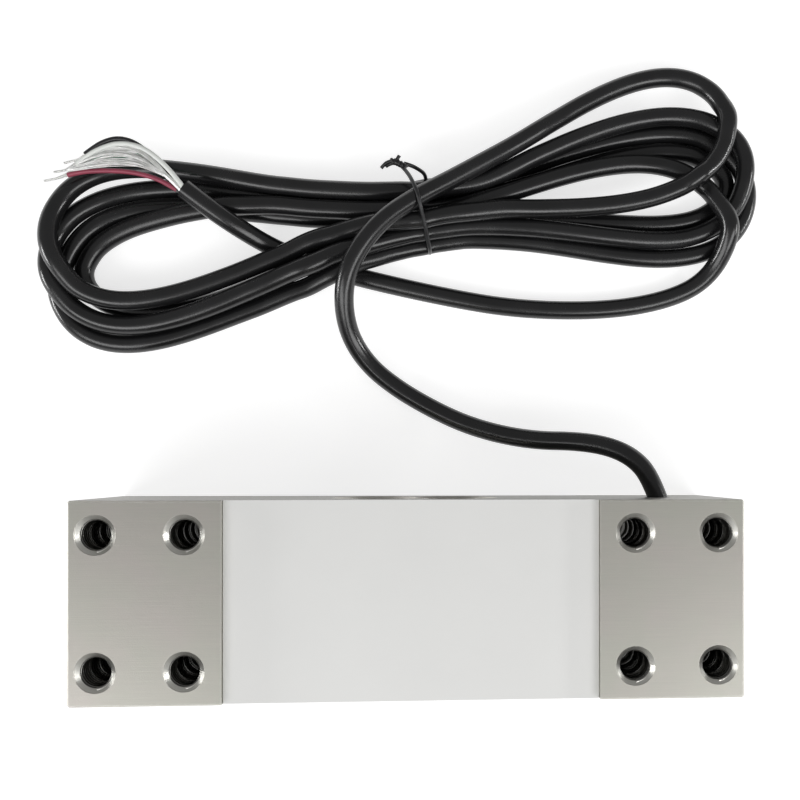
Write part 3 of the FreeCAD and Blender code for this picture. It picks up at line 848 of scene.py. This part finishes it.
def bolt_threads_tree():
    """A screw thread in every bore: a ridge with a sharp crest, on each point."""
    sockets = {
        "Geometry": ("Geometry", None),
        "Bore Radius": ("Float", 0.0034),
        "Pitch": ("Float", 0.00125),
        "Thread Length": ("Float", 0.037),
        "Ridge": ("Float", 0.0003),
        "Steps per Turn": ("Int", 30),
        "Material": ("Material", None),
    }
    tree, entry, leave = new_group(
        "GeometryNodeTree", "bolt_threads", sockets, {"Geometry": ("Geometry", None)}
    )
    ridge = maths(tree, "MULTIPLY", entry["Ridge"], 2.0)
    radius = maths(tree, "ADD", entry["Bore Radius"], entry["Ridge"])
    inputs = {
        "Resolution": entry["Steps per Turn"],
        "Rotations": maths(tree, "DIVIDE", entry["Thread Length"], entry["Pitch"]),
        "Start Radius": radius,
        "End Radius": radius,
        "Height": entry["Thread Length"],
    }
    helix = node(tree, "GeometryNodeCurveSpiral", inputs).outputs[0]
    profile = node(tree, "GeometryNodeCurvePrimitiveCircle", {"Resolution": 4, "Radius": ridge})
    inputs = {"Curve": helix, "Profile Curve": profile.outputs[0], "Fill Caps": True}
    thread = node(tree, "GeometryNodeCurveToMesh", inputs).outputs[0]
    inputs = {"Points": entry["Geometry"], "Instance": thread}
    placed = node(tree, "GeometryNodeInstanceOnPoints", inputs).outputs[0]
    finish_tree(tree, leave, placed, entry["Material"])
    return tree


def strand_bundle_tree():
    """Wires laid side by side along a path, twisted round it and fanned out in its middle."""
    sockets = {
        "Geometry": ("Geometry", None),
        "Strands": ("Int", 7),
        "Wire Radius": ("Float", 0.0001),
        "Lay Radius": ("Float", 0.0002),
        "Turns": ("Float", 2.0),
        "Fan Width": ("Float", 0.0),
        "Fan Depth": ("Float", 0.0),
        "Fan Start": ("Float", 0.0),
        "Points": ("Int", 40),
        "Seed": ("Int", 3),
        "Material": ("Material", None),
    }
    tree, entry, leave = new_group(
        "GeometryNodeTree", "strand_bundle", sockets, {"Geometry": ("Geometry", None)}
    )
    inputs = {"Curve": entry["Geometry"], "Count": entry["Points"]}
    path = node(tree, "GeometryNodeResampleCurve", inputs).outputs[0]
    inputs = {"Geometry": path, "Amount": entry["Strands"]}
    copies = node(tree, "GeometryNodeDuplicateElements", inputs, domain="SPLINE")
    number = copies.outputs["Duplicate Index"]
    along = node(tree, "GeometryNodeSplineParameter").outputs["Factor"]
    turn = maths(tree, "MULTIPLY", along, entry["Turns"])
    turn = maths(tree, "ADD", turn, maths(tree, "DIVIDE", number, entry["Strands"]))
    angle = maths(tree, "MULTIPLY", turn, math.tau)
    normal = node(tree, "GeometryNodeInputNormal").outputs["Normal"]
    tangent = node(tree, "GeometryNodeInputTangent").outputs["Tangent"]
    other = vectors(tree, "CROSS_PRODUCT", tangent, normal)
    lay = vectors(
        tree,
        "ADD",
        scaled(tree, normal, maths(tree, "COSINE", angle)),
        scaled(tree, other, maths(tree, "SINE", angle)),
    )
    lay = scaled(tree, lay, entry["Lay Radius"])
    spread = ramp(tree, along, entry["Fan Start"], 1.0)
    spread = maths(tree, "SINE", maths(tree, "MULTIPLY", spread, math.pi))
    sideways = vectors(tree, "NORMALIZE", vectors(tree, "CROSS_PRODUCT", (0, 0, 1), tangent))
    fan = lay
    for salt, (direction, reach) in enumerate(
        ((sideways, entry["Fan Width"]), ((0.0, 0.0, 1.0), entry["Fan Depth"]))
    ):
        inputs = {2: -1.0, 3: 1.0, "ID": number, "Seed": maths(tree, "ADD", entry["Seed"], salt)}
        chance = node(tree, "FunctionNodeRandomValue", inputs, data_type="FLOAT").outputs[1]
        amount = maths(tree, "MULTIPLY", maths(tree, "MULTIPLY", chance, reach), spread)
        fan = vectors(tree, "ADD", fan, scaled(tree, direction, amount))
    inputs = {"Geometry": copies.outputs["Geometry"], "Offset": fan}
    moved = node(tree, "GeometryNodeSetPosition", inputs).outputs[0]
    inputs = {"Resolution": 6, "Radius": entry["Wire Radius"]}
    profile = node(tree, "GeometryNodeCurvePrimitiveCircle", inputs).outputs[0]
    inputs = {"Curve": moved, "Profile Curve": profile, "Fill Caps": True}
    wires = node(tree, "GeometryNodeCurveToMesh", inputs).outputs[0]
    finish_tree(tree, leave, wires, entry["Material"])
    return tree


def strand_bundle(name, routes, inputs):
    tree = bpy.data.node_groups.get("strand_bundle") or strand_bundle_tree()
    return run_tree(nurbs_path(name, routes, steps=12), tree, inputs)


# ---------------------------------------------------------------- settings


def colour_setting(name, description, default):
    return bpy.props.FloatVectorProperty(
        name=name, description=description, subtype="COLOR", size=3, min=0, max=1, default=default
    )


def length_setting(name, description, default):
    return bpy.props.FloatProperty(
        name=name,
        description=description,
        default=default,
        min=0,
        subtype="DISTANCE",
        unit="LENGTH",
        precision=5,
    )


def share_setting(name, description, default):
    return bpy.props.FloatProperty(
        name=name, description=description, default=default, min=0, max=2, subtype="FACTOR"
    )


class LoadCellStage(bpy.types.PropertyGroup):
    """The floor, the light and the camera."""

    floor_colour: colour_setting("Floor colour", "Colour of the floor", (0.62, 0.62, 0.62))
    floor_glow: share_setting("Floor brightness", "What the floor adds so that it is white", 0.7)
    room_light: share_setting("Room light", "Strength of the even light from all round", 0.29)
    floor_size: length_setting("Floor size", "Length of the floor's side", 6.0)


class LoadCellMetal(bpy.types.PropertyGroup):
    """The beam's metal and its tapped bores."""

    metal_colour: colour_setting("Metal colour", "Colour of the aluminium", (0.62, 0.612, 0.573))
    roughness: share_setting("Roughness", "Roughness of the milled faces", 0.4)
    # Painted shade: the share of their tone that the side and end walls keep.
    shaded_wall_share: share_setting("Wall tone", "How bright the side walls are beside the pads", 0.4)
    # Painted reflection: how much brighter than the pads the sinks are painted.
    sink_reflection_share: share_setting("Sink tone", "How bright the sinks are beside the pads", 1.15)
    # Painted shade: the share of the pads' brightness that the bores are painted with.
    bore_shade_share: share_setting("Bore tone", "How bright the bores are beside the pads", 0.35)
    thread_pitch: length_setting("Thread pitch", "Rise of the thread in one turn", 0.00125)
    thread_ridge: length_setting("Thread ridge", "How far the thread's crest stands in", 0.0003)


class LoadCellCable(bpy.types.PropertyGroup):
    """The cable."""

    diameter: length_setting("Jacket diameter", "Outside diameter of the cable", 0.0048)
    jacket_colour: colour_setting("Jacket colour", "Colour of the jacket", (0.009, 0.009, 0.0095))


class LoadCellTie(bpy.types.PropertyGroup):
    """The wire tie round the hank."""

    wire_diameter: length_setting("Tie diameter", "Diameter of the coated tie wire", 0.001)
    twists: bpy.props.FloatProperty(
        name="Twists", description="Turns in the tie's twisted end", default=2.5, min=0
    )


class LoadCellEnd(bpy.types.PropertyGroup):
    """The stripped end of the cable."""

    core_diameter: length_setting("Core diameter", "Diameter of an insulated core", 0.0012)
    strand_diameter: length_setting("Strand diameter", "Diameter of one tinned strand", 0.0002)
    screen_wires: bpy.props.IntProperty(
        name="Screen wires", description="Number of wires in the screen", default=60, min=1
    )


# ---------------------------------------------------------------- operators


def add_softbox(name, place, size, power, target):
    """A rectangular lamp that faces the target."""
    lamp = bpy.data.lights.new(name, "AREA")
    lamp.shape = "RECTANGLE"
    lamp.size, lamp.size_y = size
    lamp.energy = power
    obj = add_to_scene(name, lamp)
    obj.location = place
    obj.rotation_euler = (Vector(target) - Vector(place)).to_track_quat("-Z", "Y").to_euler()


class LOADCELL_OT_set_stage(bpy.types.Operator):
    """Set up the floor, the soft light and the camera"""

    bl_idname = "loadcell.set_stage"
    bl_label = "Set the Stage"

    def execute(self, context):
        settings = context.scene.loadcell_stage
        half = settings.floor_size / 2
        mesh = bpy.data.meshes.new("floor")
        corners = [(-half, -half), (half, -half), (half, half), (-half, half)]
        mesh.from_pydata([(x, y, FLOOR_LEVEL) for x, y in corners], [], [(0, 1, 2, 3)])
        floor = add_to_scene("floor", mesh)
        floor.data.materials.append(self.floor_material(settings))

        world = bpy.data.worlds.new("studio")
        world.use_nodes = True
        room = world.node_tree.nodes["Background"]
        room.inputs["Color"].default_value = (1, 1, 1, 1)
        room.inputs["Strength"].default_value = settings.room_light
        context.scene.world = world
        for softbox in SOFTBOXES:
            add_softbox(*softbox, target=LAMP_TARGET)

        context.scene.view_settings.view_transform = "Standard"
        lens = bpy.data.cameras.new("camera")
        for name, value in LENS.items():
            setattr(lens, name, value)
        camera = add_to_scene("camera", lens)
        camera.location = CAMERA_PLACE
        camera.rotation_euler = CAMERA_TURN
        context.scene.camera = camera
        return {"FINISHED"}

    def floor_material(self, settings):
        """Pale, and white to the camera, in reflections and through glass."""
        material, tree, shader = start_material("studio_floor")
        place = object_place(tree)
        uneven = use_group(
            tree, effect("unevenness"), {"Vector": place, "Blotch Size": 0.4, "Grain Size": 0.002}
        )
        colour = settings.floor_colour
        tone = mixed(tree, uneven["Blotches"], tinted(colour, 0.995), tinted(colour, 1.005))
        tree.links.new(tone, shader.inputs["Base Color"])
        shader.inputs["Roughness"].default_value = 0.9
        shader.inputs["Specular IOR Level"].default_value = 0.0
        shader.inputs["Emission Color"].default_value = (1, 1, 1, 1)
        rays = node(tree, "ShaderNodeLightPath").outputs
        seen = maths(tree, "MAXIMUM", rays["Is Camera Ray"], rays["Is Glossy Ray"])
        seen = maths(tree, "MAXIMUM", seen, rays["Is Transmission Ray"])
        glow = maths(tree, "MULTIPLY", seen, settings.floor_glow)
        tree.links.new(glow, shader.inputs["Emission Strength"])
        return material


class LOADCELL_OT_finish_solids(bpy.types.Operator):
    """Give every solid that stays its finish"""

    bl_idname = "loadcell.finish_solids"
    bl_label = "Finish the Solids"

    def execute(self, context):
        slots = {part["node"]: part["material_slot"] for part in frame["record"]["subparts"]}
        for name, obj in frame["nodes"].items():
            for holder in obj.material_slots:
                holder.material = finish(slots[name])
        return {"FINISHED"}


class LOADCELL_OT_cut_threads(bpy.types.Operator):
    """Put the screw threads into the eight mounting bores"""

    bl_idname = "loadcell.cut_threads"
    bl_label = "Cut the Threads"

    def execute(self, context):
        settings = context.scene.loadcell_metal
        mesh = bpy.data.meshes.new("bolt_threads")
        signs = [(x, y) for x in (-1, 1) for y in (-1, 1)]
        spots = [(sx * x, sy * BORES_Y, BORE_SINK) for sx, sy in signs for x in BORES_X]
        mesh.from_pydata(spots, [], [])
        inputs = {
            "Bore Radius": BORE_RADIUS,
            "Pitch": settings.thread_pitch,
            "Thread Length": BEAM_HIGH.z - 2 * BORE_SINK,
            "Ridge": settings.thread_ridge,
            "Steps per Turn": STEPS_PER_THREAD_TURN,
            "Material": finish("beam_metal"),
        }
        threads = run_tree(add_to_scene("bolt_threads", mesh), bolt_threads_tree(), inputs)
        ride_and_finish(threads, "beam_metal")
        return {"FINISHED"}


class LOADCELL_OT_bend_tie(bpy.types.Operator):
    """Bend the tie round the hank, twist its ends together and splay them"""

    bl_idname = "loadcell.bend_tie"
    bl_label = "Bend the Tie"

    def execute(self, context):
        settings = context.scene.loadcell_tie
        radius = settings.wire_diameter / 2
        end_radius = radius * TIE_END_SHARE
        strap = nurbs_path("tie_strap", [TIE_STRAP], radius=radius, sides=4)
        ears = nurbs_path("tie_ears", TIE_EARS, radius=end_radius, sides=4)
        inputs = {
            "Strands": 2,
            "Wire Radius": end_radius,
            "Lay Radius": end_radius,
            "Turns": settings.twists,
            "Material": finish("tie_coating"),
        }
        twist = strand_bundle("tie_twist", [TIE_TWIST], inputs)
        tie = joined("wire_tie", [strap, ears, twist])
        ride_and_finish(tie, "tie_coating")
        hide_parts("twist_tie")
        return {"FINISHED"}


class LOADCELL_OT_strip_end(bpy.types.Operator):
    """Bend the four cores, bare their tips and fan out the screen at the cable's end"""

    bl_idname = "loadcell.strip_end"
    bl_label = "Strip the End"

    def execute(self, context):
        settings = context.scene.loadcell_end
        radius = settings.core_diameter / 2
        for name, points in CORES.items():
            core = nurbs_path(f"{name}_lead", [points], radius=radius, sides=5, steps=8)
            ride_and_finish(core, name)
            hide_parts(name)
        inputs = TIP_LAY | {
            "Wire Radius": settings.strand_diameter / 2,
            "Lay Radius": settings.strand_diameter,
            "Material": finish("bare_wire"),
        }
        tips = strand_bundle("tinned_tips", TIPS, inputs)
        tips.data.shade_smooth()
        ride_and_finish(tips, "bare_wire")
        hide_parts("core_tips")
        inputs = SCREEN_LAY | {
            "Strands": settings.screen_wires,
            "Material": finish("screen_braid"),
        }
        screen = strand_bundle("screen_wires", [SCREEN], inputs)
        screen.data.shade_smooth()
        ride_and_finish(screen, "screen_braid")
        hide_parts("cable_screen")
        return {"FINISHED"}


class LOADCELL_OT_lay_cable(bpy.types.Operator):
    """Lay the cable from the beam through the turns of the hank to its stripped end"""

    bl_idname = "loadcell.lay_cable"
    bl_label = "Lay the Cable"

    def execute(self, context):
        diameter = context.scene.loadcell_cable.diameter
        points = settle_turns(*lay_route(), diameter)
        cable = nurbs_path("cable", [points], radius=diameter / 2)
        ride_and_finish(cable, "cable_jacket")
        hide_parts("cable_lead", "cable_hank", "cable_tail")
        return {"FINISHED"}


SETTINGS = (
    ("loadcell_stage", LoadCellStage),
    ("loadcell_metal", LoadCellMetal),
    ("loadcell_cable", LoadCellCable),
    ("loadcell_tie", LoadCellTie),
    ("loadcell_end", LoadCellEnd),
)
STEPS = (
    LOADCELL_OT_set_stage,
    LOADCELL_OT_finish_solids,
    LOADCELL_OT_cut_threads,
    LOADCELL_OT_bend_tie,
    LOADCELL_OT_strip_end,
    LOADCELL_OT_lay_cable,
)


class LOADCELL_PT_panel(bpy.types.Panel):
    """Sizes and colours of the load cell, and the steps that dress it"""

    bl_label = "Load Cell"
    bl_idname = "LOADCELL_PT_panel"
    bl_space_type = "VIEW_3D"
    bl_region_type = "UI"
    bl_category = "Load Cell"

    def draw(self, context):
        for name, group in SETTINGS:
            box = self.layout.box()
            box.label(text=group.__doc__.rstrip("."))
            for prop in group.__annotations__:
                box.prop(getattr(context.scene, name), prop)
        for step in STEPS:
            self.layout.operator(step.bl_idname)


def register():
    for name, group in SETTINGS:
        bpy.utils.register_class(group)
        setattr(bpy.types.Scene, name, bpy.props.PointerProperty(type=group))
    for step in STEPS:
        bpy.utils.register_class(step)
    bpy.utils.register_class(LOADCELL_PT_panel)


def unregister():
    bpy.utils.unregister_class(LOADCELL_PT_panel)
    for step in reversed(STEPS):
        bpy.utils.unregister_class(step)
    for name, group in reversed(SETTINGS):
        delattr(bpy.types.Scene, name)
        bpy.utils.unregister_class(group)


def main():
    register()
    for step in STEPS:
        domain, operator = step.bl_idname.split(".")
        getattr(getattr(bpy.ops, domain), operator)()


if __name__ == "__main__":
    main()
